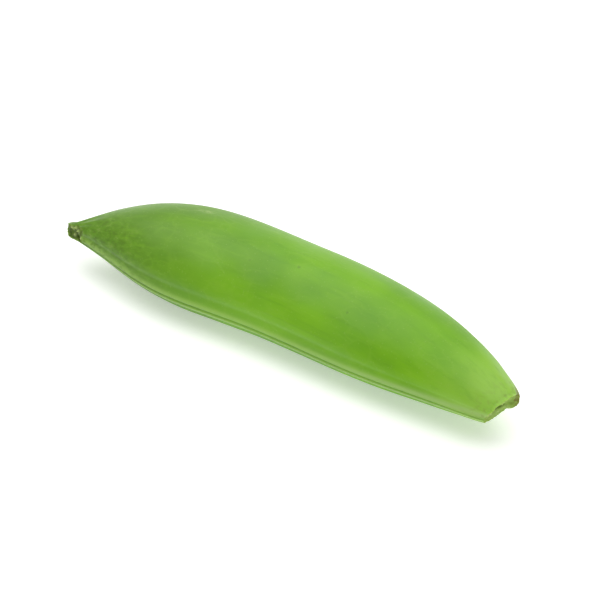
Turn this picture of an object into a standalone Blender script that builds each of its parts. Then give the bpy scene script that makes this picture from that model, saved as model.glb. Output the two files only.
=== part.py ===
"""Sugar snap pea pod, snapped off at both ends and lying on its flank.

Metres, +Z up. X runs along the chord, from the stem end to the tip end, and Y from the nearly
straight seam to the bowed one. The origin lies on the surface that the pod rests on, below the
middle of its bounding box. The pod grew as one piece, so it is one solid.
"""
import math

import bmesh
import bpy
from mathutils import Matrix, Vector

MM = 0.001

# Size of the whole pod: half its length to where the necks of its ends begin, its depth from
# seam to seam, and how high its spine rises above the chord
HALF_LENGTH = 36.5 * MM
DEPTH = 16.9 * MM
THICKNESS_RATIO = 0.71
THICKNESS_POWER = 0.8
SPINE_RISE = 4.5 * MM

# How each half narrows: two powers of the taper, half depth of its neck, how far and by what
# power its spine falls, and how far the neck runs on before it rounds off
STEM_TAPER = (4.3, 1.45)
STEM_NECK = 1.35 * MM
STEM_FALL = 5.2 * MM
STEM_CURVE = 2.77
STEM_REACH = 1.6 * MM
TIP_TAPER = (1.87, 0.82)
TIP_NECK = 2.75 * MM
TIP_FALL = 4.8 * MM
TIP_CURVE = 2.2
TIP_REACH = 4.0 * MM

# Slow waves of the two seams: height, half waves in half a length, start in half waves
BOWED_WAVE = (0.43 * MM, 1.32, -0.56)
STRAIGHT_WAVE = (0.31 * MM, 1.93, -0.46)

# Out of its own plane the pod is a little bowed and twisted
BELLY_BOW = 0.6 * MM
TWIST = math.radians(3)
ROLL = math.radians(13)

# Seams: a rounded rib along the bowed edge, two lips with a crease between them along the other
RIB_HEIGHT = 0.38 * MM
RIB_WIDTH = 0.62 * MM
LIP_HEIGHT = 0.45 * MM
LIP_WIDTH = 0.85 * MM
CREASE_DEPTH = 0.30 * MM
CREASE_WIDTH = 0.26 * MM
VALLEY_DEPTH = 0.14 * MM
VALLEY_WIDTH = 0.45 * MM
SEAM_AT_NECK = 0.5

# Peas press the walls out, one after another, nearer the straight seam that they hang from
PEA_PITCH = 9.2 * MM
PEA_START = 1.5 * MM
PEA_SWELL = 0.20 * MM
PEA_SPREAD = 0.8
PEA_LEAN = math.radians(105)

# Snapped ends: a point on the break, which way it faces, and its spur beside the bowed seam
STEM_BREAK = Vector((-35.1, -1.6, -0.3)) * MM
STEM_FACING = Vector((-0.42, -0.84, 0.36))
STEM_SPUR_START = 1.2 * MM
STEM_SPUR_REACH = 0.5 * MM
TIP_BREAK = Vector((36.1, -1.1, 0.0)) * MM
TIP_FACING = Vector((0.95, -0.13, -0.56))
TIP_SPUR_START = 1.7 * MM
TIP_SPUR_REACH = 0.9 * MM
SPUR_SLOPE = 1.0 * MM
SPUR_WIDTH = 1.0 * MM
BREAK_DISH = 0.35 * MM
BREAK_DISH_RADIUS = 1.3 * MM
FIBRE_RELIEF = 0.07 * MM
FIBRE_PITCH = 1.1 * MM
FIBRE_SLANT = 0.4
BREAK_HALF_SIDE = 6.0 * MM
BREAK_BLOCK = 6.0 * MM
BREAK_CELLS = 20

# Flat spot that the pod rests on: how much of the lowest flank is worn level
REST_DEPTH = 0.20 * MM
REST_BLOCK = 40.0 * MM

# Mesh: stations along the pod, points round it, and how they crowd towards the seams
STATIONS = 84
POINTS_ROUND = 60
SEAM_CROWDING = 0.30
POLE = 0.99999
SHARP_EDGE = math.radians(38)

POD_COLOUR = (0.165, 0.365, 0.036, 1.0)
POD_ROUGHNESS = 0.42


def clear_scene():
    for obj in list(bpy.data.objects):
        bpy.data.objects.remove(obj, do_unlink=True)


def new_collection(name):
    collection = bpy.data.collections.new(name)
    bpy.context.scene.collection.children.link(collection)
    return collection


def pod_material():
    material = bpy.data.materials.new("pod_skin")
    material.use_nodes = True
    shader = material.node_tree.nodes["Principled BSDF"]
    shader.inputs["Base Color"].default_value = POD_COLOUR
    shader.inputs["Roughness"].default_value = POD_ROUGHNESS
    shader.inputs["Metallic"].default_value = 0.0
    material.diffuse_color = POD_COLOUR
    return material


def fullness(xi):
    """1 in the middle of the pod, falling to 0 where the neck of either end begins."""
    power, shoulder = STEM_TAPER if xi < 0 else TIP_TAPER
    return (1 - abs(xi) ** power) ** shoulder


def spine(x):
    """Rise of the spine above the chord, and its slope. Past each end it runs on straight."""
    fall, curve = (STEM_FALL, STEM_CURVE) if x < 0 else (TIP_FALL, TIP_CURVE)
    xi = min(1.0, abs(x) / HALF_LENGTH)
    beyond = max(0.0, abs(x) - HALF_LENGTH)
    steepness = fall * curve * xi ** (curve - 1) / HALF_LENGTH
    rise = SPINE_RISE - fall * xi ** curve - steepness * beyond
    return rise, -math.copysign(steepness, x)


def reach(x):
    """Half the length of the untrimmed body, on the side of x."""
    return HALF_LENGTH + (STEM_REACH if x < 0 else TIP_REACH)


def neck_end(x):
    """1 as far as the neck, rounding to 0 where the untrimmed body ends."""
    beyond = max(0.0, abs(x) - HALF_LENGTH)
    return math.sqrt(max(0.0, 1 - (beyond / (reach(x) - HALF_LENGTH)) ** 2))


def wave(settings, xi):
    height, half_waves, start = settings
    return height * math.sin(math.pi * (half_waves * xi + start))


def bump(distance, width):
    return math.exp(-(distance / width) ** 2)


def bowed_seam(side):
    """Rib of the bowed seam above the flank, at a distance to one side of it."""
    valley = bump(abs(side) - 2 * RIB_WIDTH, VALLEY_WIDTH)
    return RIB_HEIGHT * bump(side, RIB_WIDTH) - VALLEY_DEPTH * valley


def straight_seam(side):
    """Lips and crease of the straight seam above the flank, at a distance to one side of it."""
    lips = LIP_HEIGHT * bump(side, LIP_WIDTH) - CREASE_DEPTH * bump(side, CREASE_WIDTH)
    valley = bump(abs(side) - 2 * LIP_WIDTH, VALLEY_WIDTH)
    return lips - VALLEY_DEPTH * valley


def pea_swelling(x, angle, full):
    """How far the peas press the wall out, fading towards the ends and the seams."""
    along = 0.5 + 0.5 * math.cos(2 * math.pi * (x - PEA_START) / PEA_PITCH)
    across = bump(abs(angle) - PEA_LEAN, PEA_SPREAD)
    return PEA_SWELL * along * across * full ** 2


def surface_point(x, angle):
    """Point of the skin at a place along the chord and an angle round the spine.

    The angle is 0 on the bowed seam and 180 degrees on the straight one.
    """
    xi = max(-1.0, min(1.0, x / HALF_LENGTH))
    full = fullness(xi)
    neck = STEM_NECK if x < 0 else TIP_NECK
    growth = DEPTH / 2 - neck
    half_depth = neck_end(x) * (neck + growth * full)
    half_thickness = neck_end(x) * THICKNESS_RATIO * (neck + growth * full ** THICKNESS_POWER)
    side = (half_thickness + pea_swelling(x, angle, full)) * math.sin(angle)
    out = half_depth * math.cos(angle)
    fade = neck_end(x) * (SEAM_AT_NECK + (1 - SEAM_AT_NECK) * full)
    if math.cos(angle) > 0:
        out += wave(BOWED_WAVE, xi) * full * math.cos(angle) + fade * bowed_seam(side / fade)
    else:
        out += wave(STRAIGHT_WAVE, xi) * full * math.cos(angle) - fade * straight_seam(side / fade)
    rise, slope = spine(x)
    run = math.hypot(1, slope)
    turn = TWIST * xi / 2
    lean = out * math.cos(turn) - side * math.sin(turn)
    height = out * math.sin(turn) + side * math.cos(turn) - BELLY_BOW * (1 - xi * xi)
    return Vector((x - lean * slope / run, rise + lean / run, height))


def build_body(collection):
    """A sphere whose rings become the stations of the pod, rolled onto its flank."""
    bm = bmesh.new()
    bmesh.ops.create_uvsphere(bm, u_segments=POINTS_ROUND, v_segments=STATIONS, radius=1.0)
    roll = Matrix.Rotation(ROLL, 3, "X")
    for vert in bm.verts:
        x = vert.co.z * reach(vert.co.z)
        angle = math.atan2(vert.co.y, vert.co.x)
        angle -= SEAM_CROWDING * math.sin(2 * angle)
        at_pole = abs(vert.co.z) > POLE
        point = Vector((x, spine(x)[0], 0.0)) if at_pole else surface_point(x, angle)
        vert.co = roll @ point
    mesh = bpy.data.meshes.new("pod")
    bm.to_mesh(mesh)
    bm.free()
    body = bpy.data.objects.new("pod", mesh)
    collection.objects.link(body)
    return body


def break_height(u, v, spur_start, spur_reach):
    """Relief of a break: a dished core, torn fibres, and a spur that begins at spur_start."""
    dish = BREAK_DISH * bump(math.hypot(u, v), BREAK_DISH_RADIUS)
    turn = 2 * math.pi / FIBRE_PITCH
    fibres = math.sin(turn * (u + FIBRE_SLANT * v)) * math.sin(turn * v)
    step = max(0.0, min(1.0, (u - spur_start) / SPUR_SLOPE))
    spur = spur_reach * step * step * (3 - 2 * step) * bump(v, SPUR_WIDTH)
    return FIBRE_RELIEF * fibres - dish + spur


def break_cutter(name, foot, facing, spur_start, spur_reach, collection):
    """A block whose near face carries the relief of a break, set beyond the end of the pod."""
    bm = bmesh.new()
    bmesh.ops.create_grid(bm, x_segments=BREAK_CELLS, y_segments=BREAK_CELLS, size=BREAK_HALF_SIDE)
    near = list(bm.verts)
    made = bmesh.ops.extrude_face_region(bm, geom=list(bm.faces))["geom"]
    far = [item for item in made if isinstance(item, bmesh.types.BMVert)]
    for vert in far:
        vert.co.z = BREAK_BLOCK
    for vert in near:
        vert.co.z = break_height(vert.co.x, vert.co.y, spur_start, spur_reach)
    bmesh.ops.recalc_face_normals(bm, faces=list(bm.faces))
    out = facing.normalized()
    up = (Vector((0, 1, 0)) - out * out.y).normalized()
    across = out.cross(up)
    place = Matrix((up, across, out)).transposed().to_4x4()
    place.translation = foot
    bm.transform(place)
    return add_cutter(name, bm, collection)


def rest_cutter(body, collection):
    """A block that takes off the lowest part of the flank, level with the surface below."""
    lowest = min(vert.co.z for vert in body.data.vertices)
    bm = bmesh.new()
    bmesh.ops.create_cube(bm, size=REST_BLOCK)
    for vert in bm.verts:
        vert.co.z += lowest + REST_DEPTH - REST_BLOCK / 2
    return add_cutter("rest_cutter", bm, collection)


def add_cutter(name, bm, collection):
    mesh = bpy.data.meshes.new(name)
    bm.to_mesh(mesh)
    bm.free()
    cutter = bpy.data.objects.new(name, mesh)
    cutter.hide_render = True
    cutter.display_type = "WIRE"
    collection.objects.link(cutter)
    return cutter


def cut(body, cutter):
    """Takes the cutter's volume off the body."""
    modifier = body.modifiers.new(cutter.name, "BOOLEAN")
    modifier.operation = "DIFFERENCE"
    modifier.solver = "EXACT"
    modifier.object = cutter
    bpy.context.view_layer.update()
    evaluated = body.evaluated_get(bpy.context.evaluated_depsgraph_get())
    carved = bpy.data.meshes.new_from_object(evaluated)
    body.modifiers.clear()
    body.data = carved


def finish_skin(body, material):
    body.data.materials.clear()
    body.data.materials.append(material)
    body.data.shade_smooth()
    body.data.set_sharp_from_angle(angle=SHARP_EDGE)


def set_origin(body, cutters):
    """Stands the pod and its cutters on one empty, with the origin below the middle of the pod."""
    corners = [body.matrix_world @ vert.co for vert in body.data.vertices]
    low = Vector([min(point[axis] for point in corners) for axis in range(3)])
    high = Vector([max(point[axis] for point in corners) for axis in range(3)])
    middle = (low + high) / 2
    frame = bpy.data.objects.new("pod_frame", None)
    frame.location = (-middle.x, -middle.y, -low.z)
    body.users_collection[0].objects.link(frame)
    for obj in [body] + cutters:
        obj.parent = frame


def main():
    clear_scene()
    parts = new_collection("sugar_snap_pea_pod")
    cutting = new_collection("cutters")
    pod = build_body(parts)
    stem = break_cutter("stem_cutter", STEM_BREAK, STEM_FACING, STEM_SPUR_START, STEM_SPUR_REACH, cutting)
    tip = break_cutter("tip_cutter", TIP_BREAK, TIP_FACING, TIP_SPUR_START, TIP_SPUR_REACH, cutting)
    rest = rest_cutter(pod, cutting)
    for cutter in (stem, tip, rest):
        cut(pod, cutter)
    finish_skin(pod, pod_material())
    set_origin(pod, [stem, tip, rest])


main()
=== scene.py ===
# %% [markdown]
# # A sugar snap pea pod, snapped off at both ends
# The pod grew as one piece: two fleshy walls joined along two seams, with the peas hidden
# inside. The loaded model already has its size and its place. This lesson models the same pod
# with a much finer skin, tears its two ends, and gives it the satin, waxy green of a fresh pod.
# Lengths are written in millimetres, because the pod is small, and made metres when a mesh is
# written.

# %% Load the fixed frame
import math

import bpy
import numpy as np
from mathutils import Matrix, Vector, noise


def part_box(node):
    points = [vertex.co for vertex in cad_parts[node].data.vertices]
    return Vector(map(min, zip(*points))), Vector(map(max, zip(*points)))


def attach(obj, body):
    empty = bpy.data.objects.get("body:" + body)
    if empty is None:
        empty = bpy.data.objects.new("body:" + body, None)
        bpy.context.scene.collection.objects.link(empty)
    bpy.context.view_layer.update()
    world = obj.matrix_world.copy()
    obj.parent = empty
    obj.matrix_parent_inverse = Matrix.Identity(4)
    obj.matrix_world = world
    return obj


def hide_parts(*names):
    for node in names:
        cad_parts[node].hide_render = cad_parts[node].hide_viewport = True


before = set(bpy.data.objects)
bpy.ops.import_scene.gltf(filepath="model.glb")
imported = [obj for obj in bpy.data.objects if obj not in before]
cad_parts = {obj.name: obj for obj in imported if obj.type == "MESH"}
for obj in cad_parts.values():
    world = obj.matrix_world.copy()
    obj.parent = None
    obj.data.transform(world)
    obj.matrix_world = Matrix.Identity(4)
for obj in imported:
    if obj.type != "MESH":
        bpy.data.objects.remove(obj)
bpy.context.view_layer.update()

MM = 0.001
pod_low, pod_high = (np.array(corner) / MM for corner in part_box("pod"))
print("pod, mm:", (pod_high - pod_low).round(2))

# %% [markdown]
# ## The pod's own measures
# A pod could be sculpted freely, but it follows simple rules: the depth from seam to seam swells
# and narrows along the length, the spine is a bow, and every cross-section is a rounded oval. So
# the shape is written as a few formulas with real sizes. The stem end narrows to a slim neck and
# the tip end stays blunt, so each half has its own numbers.

# %% Measures of the body
HALF_LENGTH = 36.5
DEPTH = 16.9
THICKNESS_RATIO = 0.71
THICKNESS_POWER = 0.8
SPINE_RISE = 4.5
STEM = {"taper": 4.3, "shoulder": 1.45, "neck": 1.35, "fall": 5.2, "curve": 2.77, "reach": 1.6}
TIP = {"taper": 1.87, "shoulder": 0.82, "neck": 2.75, "fall": 4.8, "curve": 2.2, "reach": 4.0}
BELLY_BOW = 0.6
TWIST = math.radians(3)
ROLL = math.radians(13)


def by_end(x, name):
    """A measure that is one number for the stem half and another for the tip half."""
    return np.where(x < 0, STEM[name], TIP[name])


def hill(distance, width):
    """1 at no distance, falling to 0 a little beyond twice the width."""
    return np.exp(-((distance / width) ** 2))


def smooth(low, high, value):
    """0 at low, 1 at high, and an even slope between."""
    t = np.clip((value - low) / (high - low), 0, 1)
    return t * t * (3 - 2 * t)


print("thickness in the middle, mm:", round(DEPTH * THICKNESS_RATIO, 2))


# %% Fullness, necks and spine
def fullness(x):
    """1 in the middle of the pod, falling to 0 where the neck of either end begins."""
    xi = np.clip(np.abs(x) / HALF_LENGTH, 0, 1)
    return (1 - xi ** by_end(x, "taper")) ** by_end(x, "shoulder")


def neck_end(x):
    """1 as far as the neck, rounding to 0 where the untrimmed body ends."""
    beyond = np.maximum(0, np.abs(x) - HALF_LENGTH)
    return np.sqrt(np.maximum(0, 1 - (beyond / by_end(x, "reach")) ** 2))


def spine(x):
    """Rise of the spine above the chord, and its slope."""
    xi = np.minimum(1, np.abs(x) / HALF_LENGTH)
    beyond = np.maximum(0, np.abs(x) - HALF_LENGTH)
    fall, curve = by_end(x, "fall"), by_end(x, "curve")
    steepness = fall * curve * xi ** (curve - 1) / HALF_LENGTH
    return SPINE_RISE - fall * xi**curve - steepness * beyond, -np.sign(x) * steepness


stations = np.array([0.0, -HALF_LENGTH, HALF_LENGTH])
print("spine rise in the middle and at the ends, mm:", spine(stations)[0].round(2))

# %% [markdown]
# ## The seams
# The bowed edge carries one rounded rib. The straighter edge, where the peas hang inside, is
# really two lips with a fine crease between them, and it is flanked by shallow valleys and faint
# strings. They could be left to a bump map, but they show in the outline, so they are relief.

# %% Relief of the seams
RIB = {"height": 0.38, "width": 0.62}
LIPS = {"height": 0.45, "width": 0.85, "crease": 0.30, "crease_width": 0.26}
VALLEY = {"depth": 0.14, "width": 0.45}
STRINGS = {"height": 0.025, "pitch": 0.75, "reach": 3.2, "from": 0.5, "full": 1.2}
BOWED_STRINGS = 0.5
BOWED_WAVE = (0.43, 1.32, -0.56)
STRAIGHT_WAVE = (0.31, 1.93, -0.46)


def wave(settings, x):
    """A slow wave of a seam's line: its height, and its half waves and start over half the pod."""
    height, half_waves, start = settings
    return height * np.sin(np.pi * (half_waves * np.clip(x / HALF_LENGTH, -1, 1) + start))


def strings(side):
    """Fine parallel ridges beside a seam, fading away from it."""
    ridge = 0.5 + 0.5 * np.cos(2 * np.pi * side / STRINGS["pitch"])
    clear_of_seam = smooth(STRINGS["from"], STRINGS["full"], np.abs(side))
    return STRINGS["height"] * ridge * clear_of_seam * hill(side, STRINGS["reach"])


def bowed_seam(side):
    """Relief of the rib, at a distance to the side of it."""
    valley = VALLEY["depth"] * hill(np.abs(side) - 2 * RIB["width"], VALLEY["width"])
    return RIB["height"] * hill(side, RIB["width"]) - valley + BOWED_STRINGS * strings(side)


def straight_seam(side):
    """Relief of the two lips, at a distance to the side of their crease."""
    lips = LIPS["height"] * hill(side, LIPS["width"])
    crease = LIPS["crease"] * hill(side, LIPS["crease_width"])
    valley = VALLEY["depth"] * hill(np.abs(side) - 2 * LIPS["width"], VALLEY["width"])
    return lips - crease - valley + strings(side)


to_the_side = np.array([0.0, 0.5, 1.0, 1.5, 2.0])
print("straight seam's relief, mm:", straight_seam(to_the_side).round(2), "at, mm:", to_the_side)

# %% [markdown]
# ## The peas
# In a young pod the peas press the walls out only a little, nearer the straight seam from which
# they hang. Each could be a sphere pushed through the wall, but that would show as a hard ring.
# A wave along the pod, faded round it, swells the wall softly. The wave drifts and changes its
# height, so that no two peas are alike.

# %% Swelling over the peas
PEA = {"pitch": 9.2, "start": 1.5, "swell": 0.20, "spread": 0.8, "lean": math.radians(105)}
PEA_DRIFT = {"reach": 0.9, "length": 9.7, "start": 0.6}
PEA_UNEVENNESS = {"share": 0.35, "length": 5.3, "start": 1.9}


def pea_swelling(x, angle):
    """How far the peas press the wall out, at a place along the pod and an angle round it."""
    drift = PEA_DRIFT["reach"] * np.sin(x / PEA_DRIFT["length"] + PEA_DRIFT["start"])
    along = 0.5 + 0.5 * np.cos(2 * np.pi * (x - PEA["start"] + drift) / PEA["pitch"])
    by_side = PEA_UNEVENNESS["start"] * np.sign(angle)
    size = 1 + PEA_UNEVENNESS["share"] * np.sin(x / PEA_UNEVENNESS["length"] + by_side)
    across = hill(np.abs(angle) - PEA["lean"], PEA["spread"])
    return PEA["swell"] * size * along * across * fullness(x) ** 2


print("peas in the pod:", round(2 * HALF_LENGTH / PEA["pitch"]))


# %% [markdown]
# ## The skin, from a sphere
# A UV sphere is a good start: its rings become the cross-sections along the pod and its two
# poles the ends, so the mesh is closed and its faces run with the pod's length, as its fibres do.
# It is laid along X, and its points are then pulled to the pod's shape, as a sculptor would pull
# them, but by the formulas above. The points crowd towards the seams, where the relief is finest.

# %% From a place along the pod and an angle round it to a point on the skin
SEAM_AT_NECK = 0.5
LEAST_SEAM = 1e-4


def section(x):
    """Half the depth from seam to seam, and half the thickness, of the cross-section at x."""
    neck, end, full = by_end(x, "neck"), neck_end(x), fullness(x)
    growth = DEPTH / 2 - neck
    return end * (neck + growth * full), end * THICKNESS_RATIO * (neck + growth * full**THICKNESS_POWER)


def skin_section(x, angle):
    """How far to the side of the seams' plane, and how far out from the spine, the skin lies."""
    full, end = fullness(x), neck_end(x)
    half_depth, half_thick = section(x)
    side = (half_thick + pea_swelling(x, angle)) * np.sin(angle)
    fade = np.maximum(end * (SEAM_AT_NECK + (1 - SEAM_AT_NECK) * full), LEAST_SEAM)
    bowed = wave(BOWED_WAVE, x) * full * np.cos(angle) + fade * bowed_seam(side / fade)
    straight = wave(STRAIGHT_WAVE, x) * full * np.cos(angle) - fade * straight_seam(side / fade)
    return side, half_depth * np.cos(angle) + np.where(np.cos(angle) > 0, bowed, straight)


def bow(x, side, out):
    """Bends and twists places of a straight pod onto the bowed one."""
    xi = np.clip(x / HALF_LENGTH, -1, 1)
    rise, slope = spine(x)
    run = np.hypot(1, slope)
    turn = TWIST * xi / 2
    lean = out * np.cos(turn) - side * np.sin(turn)
    height = out * np.sin(turn) + side * np.cos(turn) - BELLY_BOW * (1 - xi**2)
    return np.stack([x - lean * slope / run, rise + lean / run, height], axis=1)


print("half depth and half thickness in the middle and at the necks, mm:", np.round(section(stations), 2))


# %% Helpers for selecting and for moving points
def select_only(obj):
    bpy.ops.object.select_all(action="DESELECT")
    obj.select_set(True)
    bpy.context.view_layer.objects.active = obj


def get_points(obj):
    flat = np.empty(len(obj.data.vertices) * 3)
    obj.data.vertices.foreach_get("co", flat)
    return flat.reshape(-1, 3)


def set_points(obj, points):
    obj.data.vertices.foreach_set("co", np.ascontiguousarray(points, dtype=np.float64).ravel())
    obj.data.update()


# %% A fine sphere, pulled into a pod
POINTS_ROUND = 256
RINGS = 320
RING_EVENNESS = 0.6
CROWDING = 0.30
POLE_HEIGHT = 0.999999
bpy.ops.object.select_all(action="DESELECT")
bpy.ops.mesh.primitive_uv_sphere_add(segments=POINTS_ROUND, ring_count=RINGS, radius=1.0)
pod = bpy.context.object
pod.name = "pod_skin"
ball = get_points(pod)
latitude = np.arcsin(np.clip(ball[:, 2], -1, 1)) / (np.pi / 2)
station = (1 - RING_EVENNESS) * ball[:, 2] + RING_EVENNESS * latitude
x = station * (HALF_LENGTH + by_end(station, "reach"))
angle = np.arctan2(ball[:, 1], ball[:, 0])
angle -= CROWDING * np.sin(2 * angle)
points = bow(x, *skin_section(x, angle))
poles = np.abs(ball[:, 2]) > POLE_HEIGHT
points[poles] = np.stack([x, spine(x)[0], 0 * x], axis=1)[poles]
print("points:", len(points), "length before the ends are torn, mm:", np.ptp(points[:, 0]).round(2))

# %% [markdown]
# ## Slow unevenness
# A grown skin is never as even as a formula. Two layers of soft noise push the points in and out
# along their normals by less than a tenth of a millimetre: wide hollows first, then small ones.
# The seams keep their line, so the push fades there. Round both necks the skin puckers into
# short lengthwise wrinkles, a little deeper, whose noise runs round the pod on a circle. The pod
# is then rolled onto its flank, as it lies.

# %% Push the skin in and out
HOLLOWS = [(7.5, 0.075), (2.6, 0.020)]
HOLLOW_STRETCH = np.array([0.45, 1.0, 1.0])
HOLLOW_SEED = 11.0
SEED_STEP = 7
SEAM_STAYS = (0.15, 0.6)
WRINKLES = {"depth": 0.16, "size": 0.42, "seed": 31.0, "circle": 1.3, "stretch": 0.10}
NECK_ZONE = (28.5, 35.5)
roll = np.array(Matrix.Rotation(ROLL, 3, "X"))


def noise_at(places, size, seed):
    return np.array([noise.noise(Vector(p) / size + Vector((seed, 0, 0))) for p in places])


def hollows():
    """Slow unevenness of the walls, clear of the seams."""
    layers = [depth * noise_at(points * HOLLOW_STRETCH, size, HOLLOW_SEED + SEED_STEP * size)
              for size, depth in HOLLOWS]
    return sum(layers) * (smooth(*SEAM_STAYS, np.abs(np.sin(angle))) * fullness(x))


def wrinkles():
    """Short folds round both necks, which run along the pod."""
    radius = WRINKLES["circle"]
    circle = np.stack([WRINKLES["stretch"] * x, radius * np.cos(angle), radius * np.sin(angle)], axis=1)
    folds = WRINKLES["depth"] * noise_at(circle, WRINKLES["size"], WRINKLES["seed"])
    return folds * smooth(*NECK_ZONE, np.abs(x)) * neck_end(x)


set_points(pod, points)
normals = np.empty(len(points) * 3, dtype=np.float32)
pod.data.vertex_normals.foreach_get("vector", normals)
push = hollows() + wrinkles()
points += normals.reshape(-1, 3).astype(float) * push[:, None]
points = points @ roll.T
set_points(pod, points)
print("pushed in and out by up to, mm:", np.abs(push).max().round(3))

# %% [markdown]
# ## Torn ends
# A pod is topped and tailed by snapping: the skin and strings break raggedly, the wet core is a
# little hollow, and a spur of the seam stays behind. A flat cut with a modelled face would look
# sawn, so each break is a block whose near side is a fine grid with that relief, and the block is
# taken off the pod by a Boolean. The stem end's break slants back from the bowed seam to the
# straight one, and the tip end's is blunt and tips under. Ends of torn strings stand out of them
# as small pegs, and a slit marks where the two walls meet.

# %% Measures of the two breaks
STEM_BREAK = {
    "foot": (-35.1, -1.6, -0.3), "facing": (-0.42, -0.84, 0.36), "seed": 3.0,
    "spur_start": 1.2, "spur_reach": 0.5, "slit": 1.2, "dry": (2.8, 0.0, 0.3), "dryness": 0.4,
    "strings": [(1.35, -0.30, 0.50), (0.70, -0.60, 0.42), (1.7, 0.30, 0.30), (-0.4, 0.65, 0.28),
                (-1.3, -0.25, 0.32), (0.8, 0.60, 0.25), (-0.5, -0.70, 0.22)]}
TIP_BREAK = {
    "foot": (36.1, -1.1, 0.0), "facing": (0.95, -0.13, -0.56), "seed": 8.0,
    "spur_start": 1.7, "spur_reach": 0.9, "slit": 1.6, "dry": (3.6, 0.6, 0.0), "dryness": 1.0,
    "strings": [(-1.8, 0.30, 0.35), (-1.5, -0.4, 0.28), (1.0, -1.1, 0.22), (0.2, 1.2, 0.22),
                (2.1, -0.30, 0.30)]}
SPUR = {"slope": 1.0, "width": 1.0}
DISH = {"depth": 0.35, "radius": 1.3}
RAGGED = [(1.1, 0.16), (0.42, 0.10), (0.17, 0.045)]
STRING_END_WIDTH = 0.13
SLIT = {"depth": 0.45, "width": 0.16, "wave": 0.25, "waves": 1.7, "full": 0.6}
print("torn strings at the stem and at the tip:", len(STEM_BREAK["strings"]), len(TIP_BREAK["strings"]))

# %% Relief of a break
def slit_offset(u, v, torn):
    """How far a place is from the wavy slit between the two walls."""
    return v + SLIT["wave"] * np.sin(SLIT["waves"] * u + torn["seed"])


def string_hills(u, v, torn, width):
    """A hill at each end of a torn string, with the height that the string stands out."""
    return [(hill(np.hypot(u - pu, v - pv), width), rise) for pu, pv, rise in torn["strings"]]


def break_relief(u, v, torn):
    """Height of a break over its own plane: dished core, ragged fibres and a spur."""
    dish = DISH["depth"] * hill(np.hypot(u, v), DISH["radius"])
    past_spur = smooth(0, SPUR["slope"], u - torn["spur_start"])
    spur = torn["spur_reach"] * past_spur * hill(v, SPUR["width"])
    spots = np.stack([u, v, 0 * u], axis=1)
    ragged = sum(depth * noise_at(spots, size, torn["seed"]) for size, depth in RAGGED)
    slit_ends = smooth(1.0, SLIT["full"], np.abs(u) / torn["slit"])
    slit = SLIT["depth"] * hill(slit_offset(u, v, torn), SLIT["width"]) * slit_ends
    pegs = sum(rise * peg for peg, rise in string_hills(u, v, torn, STRING_END_WIDTH))
    return spur - dish + ragged + pegs - slit


def break_axes(torn):
    """Up, across and outwards over a break, as rows. Up leans towards the bowed seam."""
    out = Vector(torn["facing"]).normalized()
    up = (Vector((0, 1, 0)) - out * out.y).normalized()
    return np.array([up, out.cross(up), out])


print("the breaks face:", break_axes(STEM_BREAK)[2].round(2), break_axes(TIP_BREAK)[2].round(2))


# %% A block with a torn side
BLOCK_HALF_SIDE = 4.2
BLOCK_DEPTH = 6.0
BLOCK_CELLS = 100


def mark_faces(obj, share):
    """Writes how torn each face is. The Boolean hands the mark on with the block's faces."""
    torn_mark = obj.data.attributes.new("torn", "FLOAT", "FACE")
    torn_mark.data.foreach_set("value", np.full(len(obj.data.polygons), share, dtype=np.float32))


def add_block(name):
    """A box whose underside is a fine grid."""
    bpy.ops.object.select_all(action="DESELECT")
    bpy.ops.mesh.primitive_grid_add(
        x_subdivisions=BLOCK_CELLS, y_subdivisions=BLOCK_CELLS, size=2 * BLOCK_HALF_SIDE)
    block = bpy.context.object
    block.name = name
    bpy.ops.object.mode_set(mode="EDIT")
    bpy.ops.mesh.select_all(action="SELECT")
    bpy.ops.mesh.extrude_region_move(TRANSFORM_OT_translate={"value": (0, 0, BLOCK_DEPTH)})
    bpy.ops.mesh.select_all(action="SELECT")
    bpy.ops.mesh.normals_make_consistent(inside=False)
    bpy.ops.object.mode_set(mode="OBJECT")
    return block


def torn_block(name, torn):
    """The block of a break, with its torn side at the pod and its body beyond it."""
    block = add_block(name)
    mark_faces(block, 1.0)
    local = get_points(block)
    near = local[:, 2] < BLOCK_DEPTH / 2
    local[near, 2] = break_relief(local[near, 0], local[near, 1], torn)
    set_points(block, local @ break_axes(torn) + np.array(torn["foot"]))
    return block


print("cell of a torn side, mm:", 2 * BLOCK_HALF_SIDE / BLOCK_CELLS)


# %% Take the two breaks off the pod
def take_off(obj, block):
    select_only(obj)
    cut = obj.modifiers.new(block.name, "BOOLEAN")
    cut.operation = "DIFFERENCE"
    cut.solver = "EXACT"
    cut.object = block
    bpy.ops.object.modifier_apply(modifier=cut.name)
    bpy.data.objects.remove(block, do_unlink=True)


mark_faces(pod, 0.0)
for name, torn in (("stem_block", STEM_BREAK), ("tip_block", TIP_BREAK)):
    take_off(pod, torn_block(name, torn))
torn_faces = np.empty(len(pod.data.polygons), dtype=np.float32)
pod.data.attributes["torn"].data.foreach_get("value", torn_faces)
print("points:", len(pod.data.vertices), "torn faces:", int(torn_faces.sum()))

# %% [markdown]
# ## The spot it rests on
# A soft pod presses itself level where it touches a table. Bisecting the mesh along that level
# and filling the gap gives the same kind of small flat spot that the loaded model rests on. The
# way from there to the loaded model's place is measured now and gone at the end, so the object
# itself stays at the origin, unturned and unscaled.

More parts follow.
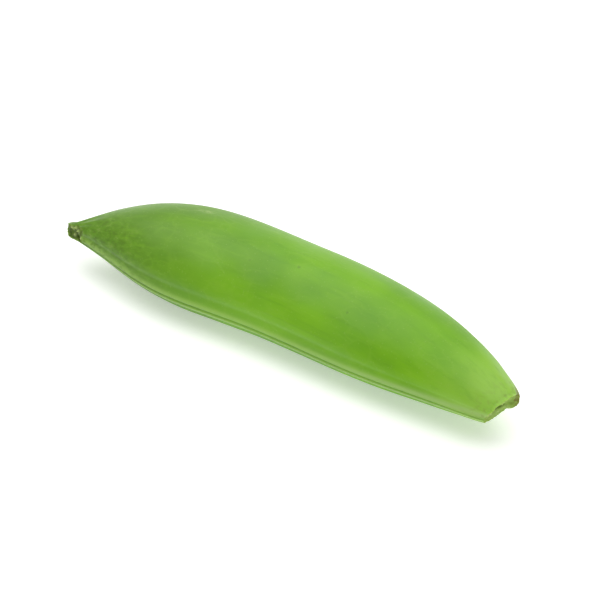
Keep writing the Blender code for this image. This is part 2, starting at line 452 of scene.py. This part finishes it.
# %% Level the rest spot, and find the pod's place
REST_DEPTH = 0.20
level = points[:, 2].min() + REST_DEPTH
select_only(pod)
bpy.ops.object.mode_set(mode="EDIT")
bpy.ops.mesh.select_all(action="SELECT")
bpy.ops.mesh.bisect(plane_co=(0, 0, level), plane_no=(0, 0, 1), clear_inner=True, use_fill=True)
bpy.ops.mesh.select_all(action="DESELECT")
bpy.ops.object.mode_set(mode="OBJECT")
places = get_points(pod)
middle = (places.min(axis=0) + places.max(axis=0)) / 2
cad_middle = (pod_low + pod_high) / 2
shift = np.array([cad_middle[0] - middle[0], cad_middle[1] - middle[1], pod_low[2] - level])
print("to be moved by, mm:", shift.round(3), "size, mm:", np.ptp(places, axis=0).round(2))

# %% [markdown]
# ## Marks for the colours
# The colours need to know where on the pod they are. The curved pod is unrolled once, point by
# point, into a straight one: how far along, how far to the side of the seams' plane, and how far
# out from the spine. Patterns on those coordinates follow the bow, as the pod's own fibres do.
# Simple marks then say how near each point is to a seam, a pea, a break or a scuff. They could be
# painted by hand, but measured marks stay right when a measure of the pod is changed.

# %% Straighten the pod's coordinates
CLOSING_IN_STEPS = 12
END_MARGIN = 4


def straighten(rolled):
    """(along, side, out) of places on the rolled pod, found by closing in on their station."""
    flat = rolled @ roll
    station = flat[:, 0].copy()
    farthest = HALF_LENGTH + END_MARGIN
    for _ in range(CLOSING_IN_STEPS):
        rise, slope = spine(station)
        station = np.clip(flat[:, 0] + (flat[:, 1] - rise) * slope, -farthest, farthest)
    rise, slope = spine(station)
    xi = np.clip(station / HALF_LENGTH, -1, 1)
    turn = TWIST * xi / 2
    lean = (flat[:, 1] - rise) * np.hypot(1, slope)
    height = flat[:, 2] + BELLY_BOW * (1 - xi**2)
    out = lean * np.cos(turn) + height * np.sin(turn)
    side = height * np.cos(turn) - lean * np.sin(turn)
    return np.stack([station, side, out], axis=1)


straight = straighten(places)
at_station, at_side, at_out = straight.T
half_depth, half_thick = section(at_station)
round_pod = np.arctan2(at_side / half_thick, at_out / half_depth)
print("along, side, out, mm:", np.abs(straight).max(axis=0).round(2))

# %% Marks near the seams and the peas
RIB_MARK = 0.6
LIP_MARK = {"from_crease": 0.5, "width": 0.4}
CREASE_MARK = 0.2


def write_mark(name, values):
    kind, field = ("FLOAT_VECTOR", "vector") if values.ndim == 2 else ("FLOAT", "value")
    new_mark = pod.data.attributes.new(name, kind, "POINT")
    new_mark.data.foreach_set(field, values.astype(np.float32).ravel())


lip_mark = hill(np.abs(at_side) - LIP_MARK["from_crease"], LIP_MARK["width"])
write_mark("straight", straight)
write_mark("rib", np.where(at_out > 0, hill(at_side, RIB_MARK), 0))
write_mark("lips", np.where(at_out < 0, lip_mark, 0))
write_mark("crease", np.where(at_out < 0, hill(at_side, CREASE_MARK), 0))
write_mark("pea", pea_swelling(at_station, np.arctan2(at_side, at_out)) / PEA["swell"])
print("points nearer the rib and nearer the lips:", int((at_out > 0).sum()), int((at_out < 0).sum()))

# %% Marks of the scuffs
SCUFFS = [(-18.0, 58), (13.0, -75), (-2.0, -120), (24.0, 22)]
SCUFF_LENGTH = 1.3
SCUFF_WIDTH = 0.30


def scuff_mark(station, degrees):
    """1 in the middle of a scuff, so far along and round the pod, falling to 0 about it."""
    turned = np.angle(np.exp(1j * (round_pod - math.radians(degrees))))
    return hill(np.hypot((at_station - station) / SCUFF_LENGTH, turned * half_thick / SCUFF_WIDTH), 1)


scuff_marks = sum(scuff_mark(*scuff) for scuff in SCUFFS)
write_mark("scuff", scuff_marks)
print("scuffed points:", int((scuff_marks > 0.5).sum()))

# %% Marks near the breaks
STRING_MARK = 0.26
SLIT_MARK = {"width": 0.32, "end": 1.1, "full": 0.8}
DRY_MARK = 1.3
STEM_NECK_REACH = 6.0
TIP_NECK_REACH = 4.5


def near_break(torn):
    """How far behind a break each place is, and how near a string's end, the slit and the dry corner."""
    u, v, w = ((places - np.array(torn["foot"])) @ break_axes(torn).T).T
    near = np.hypot(u, v) < BLOCK_HALF_SIDE
    string_end = sum(peg for peg, _ in string_hills(u, v, torn, STRING_MARK))
    slit_ends = smooth(SLIT_MARK["end"], SLIT_MARK["full"], np.abs(u) / torn["slit"])
    slit = hill(slit_offset(u, v, torn), SLIT_MARK["width"]) * slit_ends
    from_corner = np.linalg.norm(np.stack([u, v, w], axis=1) - np.array(torn["dry"]), axis=1)
    return -w, near * string_end, near * slit, torn["dryness"] * hill(from_corner, DRY_MARK)


at_tip = places[:, 0] > 0
stem_marks, tip_marks = near_break(STEM_BREAK), near_break(TIP_BREAK)
behind, string_end, slit, dry = (np.where(at_tip, t, s) for s, t in zip(stem_marks, tip_marks))
write_mark("core_share", np.hypot(at_side / half_thick, at_out / half_depth))
write_mark("stem_neck", np.where(at_tip, 0, smooth(STEM_NECK_REACH, 0.0, behind)))
write_mark("tip_neck", np.where(at_tip, smooth(TIP_NECK_REACH, 0.0, behind), 0))
write_mark("string_end", string_end)
write_mark("slit", slit)
write_mark("dry", dry)
print("marks on the pod:", len(pod.data.attributes))

# %% [markdown]
# ## Into place, and smooth
# The whole mesh is moved to the loaded model's place, and its points are scaled to metres. The
# skin is shaded smooth, but the rims of the breaks stay crisp, because torn flesh has no rounded
# edge. Splitting the mesh there would do it too, but an angle keeps the pod one closed piece.

# %% Move the mesh into place and shade it smooth, with crisp torn rims
RIM_ANGLE = math.radians(42)
set_points(pod, (places + shift) * MM)
select_only(pod)
bpy.ops.object.shade_smooth_by_angle(angle=RIM_ANGLE)
print("faces:", len(pod.data.polygons))

# %% [markdown]
# ## A material built from nodes
# Painting a skin by hand would fix one picture to one mesh. Here the colour is a chain of nodes
# that reads the straightened coordinates and the marks. A few helpers add a node, set it and hand
# back its output, so that a layer of the skin is one short line of plain words.

# %% Helpers that link nodes and do sums
skin = bpy.data.materials.new("pod_skin")
skin.use_nodes = True
nodes, links = skin.node_tree.nodes, skin.node_tree.links
shader = nodes["Principled BSDF"]


def put(value, socket):
    """Links an output to a socket, or sets the socket to a plain value."""
    if isinstance(value, bpy.types.NodeSocket):
        links.new(value, socket)
    else:
        socket.default_value = value


def mark(name, output="Fac"):
    node = nodes.new("ShaderNodeAttribute")
    node.attribute_name = name
    return node.outputs[output]


def math_node(operation, a, b):
    node = nodes.new("ShaderNodeMath")
    node.operation = operation
    put(a, node.inputs[0])
    put(b, node.inputs[1])
    return node.outputs[0]


def times(a, b):
    return math_node("MULTIPLY", a, b)


def plus(a, b):
    return math_node("ADD", a, b)


def xyz(vector):
    """The three numbers of a vector."""
    node = nodes.new("ShaderNodeSeparateXYZ")
    links.new(vector, node.inputs[0])
    return node.outputs


# %% Helpers for noise
place = mark("straight", "Vector")


def scaled(vector, scale, offset=(0.0, 0.0, 0.0)):
    node = nodes.new("ShaderNodeMapping")
    put(vector, node.inputs["Vector"])
    node.inputs["Scale"].default_value = scale
    node.inputs["Location"].default_value = offset
    return node.outputs[0]


def noise_node(vector, scale=1.0, detail=2.0, roughness=0.5, output="Fac"):
    node = nodes.new("ShaderNodeTexNoise")
    put(vector, node.inputs["Vector"])
    node.inputs["Scale"].default_value = scale
    node.inputs["Detail"].default_value = detail
    node.inputs["Roughness"].default_value = roughness
    return node.outputs[output]


def grain(along, across, detail=2.0, roughness=0.5, offset=(0.0, 0.0, 0.0)):
    """Noise on the straightened pod, with so many grains to a millimetre along and across it."""
    return noise_node(scaled(place, (along, across, across), offset), 1.0, detail, roughness)


def wobbled(size, reach):
    """Places on the straightened pod, pushed aside by noise, up to about half of reach."""
    node = nodes.new("ShaderNodeVectorMath")
    node.operation = "MULTIPLY_ADD"
    put(noise_node(place, 1 / size, output="Color"), node.inputs[0])
    node.inputs[1].default_value = (reach,) * 3
    put(place, node.inputs[2])
    return node.outputs[0]


# %% Helpers for ranges and tints
def between(value, low, high, to_low=0.0, to_high=1.0):
    """Turns the range low..high into to_low..to_high, held at its ends."""
    node = nodes.new("ShaderNodeMapRange")
    node.interpolation_type = "SMOOTHSTEP"
    put(value, node.inputs["Value"])
    for name, number in (("From Min", low), ("From Max", high), ("To Min", to_low), ("To Max", to_high)):
        node.inputs[name].default_value = number
    return node.outputs[0]


def mix(factor, a, b):
    node = nodes.new("ShaderNodeMix")
    node.data_type = "RGBA"
    put(factor, node.inputs[0])
    put(a, node.inputs[6])
    put(b, node.inputs[7])
    return node.outputs[2]


def tinted(colour, tint, share, most):
    """The colour with a tint over a share of it, at most that strongly."""
    return mix(times(share, most), colour, tint)


def rgb(red, green, blue):
    return (red, green, blue, 1.0)


print("node kinds in use:", sorted({node.type for node in nodes}))

# %% [markdown]
# ## The green of the skin
# A fresh pod is yellow-green, with bluer patches, and it is paler where a pea lifts the wall. The
# stem end is darker and duller, partly its own duller green and mostly painted shade, and the tip
# end is the palest, partly its own paler skin and partly painted light from the floor. One flat
# green would look like plastic, so two greens are mixed by wide, soft noise, and the two ends are
# laid over them with edges that wander with the patches.

# %% Broad patches, the stem end darkened with painted shade, and the paler tip with painted light
LEAF_GREEN = rgb(0.140, 0.365, 0.006)
YELLOW_GREEN = rgb(0.200, 0.470, 0.008)
BLUE_GREEN = rgb(0.140, 0.360, 0.024)
PEA_GREEN = rgb(0.230, 0.500, 0.010)
STEM_SHADED_GREEN = rgb(0.100, 0.225, 0.010)
TIP_PALE_AND_LIT_GREEN = rgb(0.345, 0.590, 0.090)
STEM_SHADE_FADE = (4.0, -27.0)
TIP_LIT_FADE = (23.0, 37.0)
along_pod, _, out_way = xyz(place)
patches = between(grain(0.05, 0.12, detail=3.0, roughness=0.55), 0.34, 0.66)
colour = mix(patches, LEAF_GREEN, YELLOW_GREEN)
bluer = between(grain(0.07, 0.14, offset=(4.0, 2.0, 7.0)), 0.42, 0.72)
colour = tinted(colour, BLUE_GREEN, bluer, most=0.55)
colour = tinted(colour, PEA_GREEN, mark("pea"), most=0.22)
# Painted shade: the stem half is darkened, over its own duller green.
stem_shade = between(plus(along_pod, times(patches, 5.0)), *STEM_SHADE_FADE)
colour = tinted(colour, STEM_SHADED_GREEN, stem_shade, most=0.74)
# Partly painted light: the tip half is paled, for its own paler skin and for light from the floor.
tip_pale_and_lit = between(plus(along_pod, times(bluer, -4.0)), *TIP_LIT_FADE)
colour = tinted(colour, TIP_PALE_AND_LIT_GREEN, tip_pale_and_lit, most=0.68)
print("nodes for the greens:", len(nodes))

# %% [markdown]
# ## Streaks and veins
# Fibres run the length of the walls and show as faint streaks, and a fine net of veins crosses
# them. The streaks are noise that is drawn out along the pod. The net is the edges of Voronoi
# cells whose places are wobbled first, because straight cell edges look like cracked mud.

# %% Streaks and veins
STREAK_DARK = rgb(0.100, 0.290, 0.006)
STREAK_PALE = rgb(0.250, 0.520, 0.025)
VEIN_PALE = rgb(0.260, 0.500, 0.040)
VEIN_MESH = (0.30, 0.62, 0.62)
VEIN_WIDTH = 0.13
streaks = grain(0.05, 1.1, detail=4.0, roughness=0.6)
colour = tinted(colour, STREAK_DARK, between(streaks, 0.52, 0.78), most=0.34)
colour = tinted(colour, STREAK_PALE, between(streaks, 0.46, 0.24), most=0.30)
veins = nodes.new("ShaderNodeTexVoronoi")
veins.feature = "DISTANCE_TO_EDGE"
veins.inputs["Scale"].default_value = 1.0
links.new(scaled(wobbled(size=2.0, reach=1.6), VEIN_MESH), veins.inputs["Vector"])
vein_line = between(veins.outputs["Distance"], 0.0, VEIN_WIDTH, 1.0, 0.0)
vein_line = times(vein_line, between(noise_node(place, 0.22), 0.40, 0.60, 0.25, 1.0))
colour = tinted(colour, VEIN_PALE, vein_line, most=0.16)
print("nodes with streaks and veins:", len(nodes))

# %% [markdown]
# ## Pores, flecks and scuffs
# Close up, the skin has pale pin-prick pores and a few dark and pale flecks, and handling leaves
# short dry scuffs. Dots are cut from a Voronoi pattern: only a share of its cells gets one, so
# they never line up. The scuffs have places of their own, broken up by streaky noise.

# %% Pores, flecks and scuffs
FLECK_PALE = rgb(0.330, 0.540, 0.110)
FLECK_DARK = rgb(0.075, 0.150, 0.012)
SCUFF_PALE = rgb(0.420, 0.560, 0.230)
DOT_WOBBLE_SIZE = 0.4


def dots(size, share, seed, inner, outer, wobble=0.0):
    """Small dots on a share of the cells of a grid that is size millimetres wide."""
    cells = nodes.new("ShaderNodeTexVoronoi")
    source = wobbled(DOT_WOBBLE_SIZE, wobble) if wobble else place
    put(scaled(source, (1 / size,) * 3, (seed, seed, seed)), cells.inputs["Vector"])
    cells.inputs["Scale"].default_value = 1.0
    picked = math_node("LESS_THAN", xyz(cells.outputs["Color"])[0], share)
    return times(picked, between(cells.outputs["Distance"], inner, outer, 1.0, 0.0))


pores = dots(size=0.55, share=0.60, seed=3.0, inner=0.10, outer=0.24)
colour = tinted(colour, FLECK_PALE, pores, most=0.24)
dark_flecks = dots(size=3.6, share=0.22, seed=9.0, inner=0.03, outer=0.095, wobble=0.5)
colour = tinted(colour, FLECK_DARK, dark_flecks, most=0.36)
pale_flecks = dots(size=4.3, share=0.20, seed=5.0, inner=0.03, outer=0.08, wobble=0.5)
colour = tinted(colour, FLECK_PALE, pale_flecks, most=0.40)
scuffs = times(mark("scuff"), between(grain(0.8, 3.0, detail=3.0, roughness=0.7), 0.42, 0.58))
colour = tinted(colour, SCUFF_PALE, scuffs, most=0.80)
print("nodes with pores, flecks and scuffs:", len(nodes))

# %% [markdown]
# ## Bloom, painted sheen and the seams' crests
# A thin wax bloom greys the green, and a painted sheen grows with it towards the bowed seam, the
# far edge, where the white surroundings would reflect. Both seams have paler crests: a grey rib on
# the bowed edge, partly its own colour and partly a painted highlight, and lime lips on the
# straight edge, partly their own colour and partly painted light from the floor, paler towards the
# tip. The crease between the lips is darkened with painted shade. The bloom could be a coat on the
# shader, but it is dull wax, so it is a colour, and the roughness follows it later.

# %% Wax bloom with painted sheen, and the seams' crests with painted highlight, light and shade
BLOOM_AND_SHEEN_GREY = rgb(0.290, 0.450, 0.110)
RIB_GREY_AND_HIGHLIGHT = rgb(0.290, 0.430, 0.130)
LIP_LIME_LIT = rgb(0.330, 0.540, 0.105)
LIP_PALE_LIT = rgb(0.380, 0.550, 0.180)
CREASE_SHADE = rgb(0.070, 0.190, 0.008)
bloom_and_sheen_grain = grain(0.10, 0.18, detail=4.0, roughness=0.6, offset=(1.0, 5.0, 2.0))
# Painted sheen: the grey grows towards the bowed seam, the far edge, over the wax bloom's own grey.
sheen_towards_rib = between(out_way, 0.5, 7.0, 0.06, 1.0)
bloom_and_sheen = times(between(bloom_and_sheen_grain, 0.36, 0.66, 0.35, 1.0), sheen_towards_rib)
colour = tinted(colour, BLOOM_AND_SHEEN_GREY, bloom_and_sheen, most=0.22)
# Partly painted highlight: the rib's paler grey crest, over its own paler seam colour.
colour = tinted(colour, RIB_GREY_AND_HIGHLIGHT, mark("rib"), most=0.50)
# Partly painted light: lime lips as if lit from the floor below, over their own paler seam colour.
lit_lip_colour = mix(between(along_pod, 0.0, 25.0), LIP_LIME_LIT, LIP_PALE_LIT)
colour = tinted(colour, lit_lip_colour, mark("lips"), most=0.70)
# Painted shade: the crease between the lips is darkened.
colour = tinted(colour, CREASE_SHADE, mark("crease"), most=0.20)
print("nodes with bloom and crests:", len(nodes))

# %% [markdown]
# ## Necks, torn flesh and the dry corner
# Round the stem the skin is puckered, dull and mottled. Where the pod is snapped, the flesh shows
# an olive core, a paler ring under the skin and whitish ends of strings. At the stem end the core
# and the ring are darkened further with painted shade, and the slit between the walls is darkened
# with painted shadow. The corner that the flower left behind has dried to an olive brown. These
# are mixed in last, by the marks, so they cover all the layers of the skin.

# %% Mottled skin round both necks
NECK_DULL = rgb(0.085, 0.170, 0.008)
NECK_PALE = rgb(0.240, 0.370, 0.060)
mottle = grain(0.8, 1.7, detail=4.0, roughness=0.65)
stem_dull = times(mark("stem_neck"), between(mottle, 0.44, 0.66))
colour = tinted(colour, NECK_DULL, stem_dull, most=0.66)
stem_pale = times(mark("stem_neck"), between(mottle, 0.46, 0.34))
colour = tinted(colour, NECK_PALE, stem_pale, most=0.55)
tip_pale = times(mark("tip_neck"), between(mottle, 0.50, 0.35))
colour = tinted(colour, NECK_PALE, tip_pale, most=0.60)
print("nodes with the necks:", len(nodes))

# %% Torn flesh, with painted shade on the stem's break and in the slit
CORE_AND_SHADE = rgb(0.105, 0.185, 0.012)
CORE_DARK_AND_SHADE = rgb(0.050, 0.092, 0.004)
TIP_CORE = rgb(0.290, 0.450, 0.080)
RIM = rgb(0.260, 0.400, 0.060)
STEM_RIM_AND_SHADE = rgb(0.160, 0.285, 0.022)
BUNDLE_PALE = rgb(0.280, 0.400, 0.070)
STRING_PALE = rgb(0.450, 0.580, 0.200)
flesh_grain = noise_node(place, 2.4, 3.0, 0.65)
# Partly painted shade: the olive core and the stem's rim are darkened; they show mostly at the stem end.
flesh = mix(between(flesh_grain, 0.38, 0.62), CORE_DARK_AND_SHADE, CORE_AND_SHADE)
tip_side = between(along_pod, -5.0, 5.0)
flesh = tinted(flesh, TIP_CORE, tip_side, most=0.80)
rim_share = between(plus(mark("core_share"), times(flesh_grain, 0.25)), 0.90, 1.06)
flesh = tinted(flesh, mix(tip_side, STEM_RIM_AND_SHADE, RIM), rim_share, most=0.85)
bundles = dots(size=0.42, share=0.45, seed=12.0, inner=0.08, outer=0.26)
flesh = tinted(flesh, BUNDLE_PALE, bundles, most=0.20)
# Painted shadow: the slit between the two walls is darkened.
flesh = tinted(flesh, CORE_DARK_AND_SHADE, mark("slit"), most=0.60)
flesh = tinted(flesh, STRING_PALE, mark("string_end"), most=0.85)
colour = mix(mark("torn"), colour, flesh)
print("nodes with the torn flesh:", len(nodes))

# %% The dry corner, with a ragged edge
DRY_BROWN = rgb(0.140, 0.125, 0.020)
DRY_OLIVE = rgb(0.215, 0.240, 0.042)
dry_grain = grain(0.9, 2.0, detail=5.0, roughness=0.70)
dry_patch = between(times(mark("dry"), plus(times(dry_grain, 4.0), -1.0)), 0.22, 0.66)
dry_colour = mix(between(dry_grain, 0.42, 0.60), DRY_OLIVE, DRY_BROWN)
colour = tinted(colour, dry_colour, dry_patch, most=0.86)
links.new(colour, shader.inputs["Base Color"])
print("nodes for the whole colour:", len(nodes))

# %% [markdown]
# ## Shine and fine relief
# The wax makes the skin satin, and duller where the bloom is thick, so the roughness follows the
# bloom. The shine is less towards the tip and on torn flesh, where there is less wax. A little
# light travels inside the flesh, which keeps the shaded edges a clear green. Veins, pores and
# streaks are far below a tenth of a millimetre deep, so they are bump, while everything that
# shows in the outline is already in the mesh.

# %% Roughness, shine and light in the flesh
ROUGH_RANGE = (0.34, 0.56)
SHINE_RANGE = (0.33, 0.21)
FLESH_LIGHT = {
    "Subsurface Weight": 0.22, "Subsurface Radius": (0.8, 1.0, 0.25), "Subsurface Scale": 0.0012,
    "Sheen Weight": 0.04, "Sheen Roughness": 0.45}
rough = between(plus(times(bloom_and_sheen, 0.7), times(streaks, 0.3)), 0.0, 1.0, *ROUGH_RANGE)
rough = plus(rough, times(scuffs, 0.12))
rough = plus(rough, times(mark("torn"), 0.22))
links.new(rough, shader.inputs["Roughness"])
dull_flesh = between(mark("torn"), 0.0, 1.0, 1.0, 0.5)
shine = times(between(along_pod, 6.0, 26.0, *SHINE_RANGE), dull_flesh)
links.new(shine, shader.inputs["Specular IOR Level"])
for name, value in FLESH_LIGHT.items():
    shader.inputs[name].default_value = value
print("roughness:", ROUGH_RANGE, "shine:", SHINE_RANGE)

# %% Bump too fine for the mesh
BUMP_STRENGTH = 0.40
BUMP_DISTANCE = 0.00012
relief = plus(times(streaks, 0.30), times(vein_line, 0.16))
relief = plus(relief, times(pores, -0.10))
relief = plus(relief, times(noise_node(place, 7.0, 1.0), 0.06))
torn_fibres = times(mark("torn"), grain(1.0, 6.0, detail=3.0))
relief = plus(relief, times(torn_fibres, 0.8))
bump_node = nodes.new("ShaderNodeBump")
bump_node.inputs["Strength"].default_value = BUMP_STRENGTH
bump_node.inputs["Distance"].default_value = BUMP_DISTANCE
links.new(relief, bump_node.inputs["Height"])
links.new(bump_node.outputs[0], shader.inputs["Normal"])
print("bump distance, mm:", BUMP_DISTANCE / MM)

# %% Dress the pod, and say which part it is
pod.data.materials.clear()
pod.data.materials.append(skin)
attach(pod, "root")
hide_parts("pod")
print("dressed:", pod.name, "nodes:", len(nodes))

# %% [markdown]
# ## Floor and light
# The pod lies on a plain white sheet that is lit a little from below, under large soft lights,
# with white all round, so that light reaches under its edges too. A plain grey floor would be
# simpler, but it would darken the pod's lower edge.

# %% White floor
SHEET_WHITE = rgb(0.90, 0.90, 0.90)
PURE_WHITE = rgb(1.0, 1.0, 1.0)
SHEET_SIZE = 4.0
SHEET_FINISH = {
    "Base Color": SHEET_WHITE, "Roughness": 0.9, "Emission Color": PURE_WHITE, "Emission Strength": 0.36}
bpy.ops.object.select_all(action="DESELECT")
bpy.ops.mesh.primitive_plane_add(size=SHEET_SIZE)
floor = bpy.context.object
floor.name = "floor"
sheet = bpy.data.materials.new("white_sheet")
sheet.use_nodes = True
for name, value in SHEET_FINISH.items():
    sheet.node_tree.nodes["Principled BSDF"].inputs[name].default_value = value
floor.data.materials.append(sheet)
print("floor, m:", SHEET_SIZE)

# %% Soft light
WORLD_STRENGTH = 0.38
world = bpy.data.worlds.new("white_studio")
world.use_nodes = True
world.node_tree.nodes["Background"].inputs["Color"].default_value = PURE_WHITE
world.node_tree.nodes["Background"].inputs["Strength"].default_value = WORLD_STRENGTH
bpy.context.scene.world = world


def soft_light(name, location, width, height, watts):
    """A large lamp that points at the pod."""
    lamp = bpy.data.lights.new(name, "AREA")
    lamp.shape = "RECTANGLE"
    lamp.size, lamp.size_y = width, height
    lamp.energy = watts
    obj = bpy.data.objects.new(name, lamp)
    obj.location = location
    obj.rotation_euler = Vector(location).to_track_quat("Z", "Y").to_euler()
    bpy.context.scene.collection.objects.link(obj)


soft_light("overhead", (-0.04, 0.08, 0.60), width=1.00, height=0.80, watts=4.3)
soft_light("backdrop", (-0.44, 0.60, 0.17), width=1.10, height=0.32, watts=0.8)

# %% [markdown]
# ## Camera
# The camera looks down on the pod at the photograph's angle. A long lens from a step away is
# used, because the photograph has hardly any perspective.

# %% Camera
CAMERA_AZIMUTH = math.radians(36)
CAMERA_ELEVATION = math.radians(35)
CAMERA_DISTANCE = 0.60
FRAME_WIDTH = 0.083
SENSOR = 36.0
look_at = Vector((0.0, 0.0, 0.0057))
back = Vector((
    math.sin(CAMERA_AZIMUTH) * math.cos(CAMERA_ELEVATION),
    -math.cos(CAMERA_AZIMUTH) * math.cos(CAMERA_ELEVATION),
    math.sin(CAMERA_ELEVATION)))
camera_data = bpy.data.cameras.new("camera")
camera_data.sensor_width = SENSOR
camera_data.lens = SENSOR * CAMERA_DISTANCE / FRAME_WIDTH
camera = bpy.data.objects.new("camera", camera_data)
camera.location = look_at + back * CAMERA_DISTANCE
camera.rotation_euler = back.to_track_quat("Z", "Y").to_euler()
bpy.context.scene.collection.objects.link(camera)
bpy.context.scene.camera = camera
bpy.context.scene.view_settings.view_transform = "Standard"
print("lens, mm:", round(camera_data.lens))
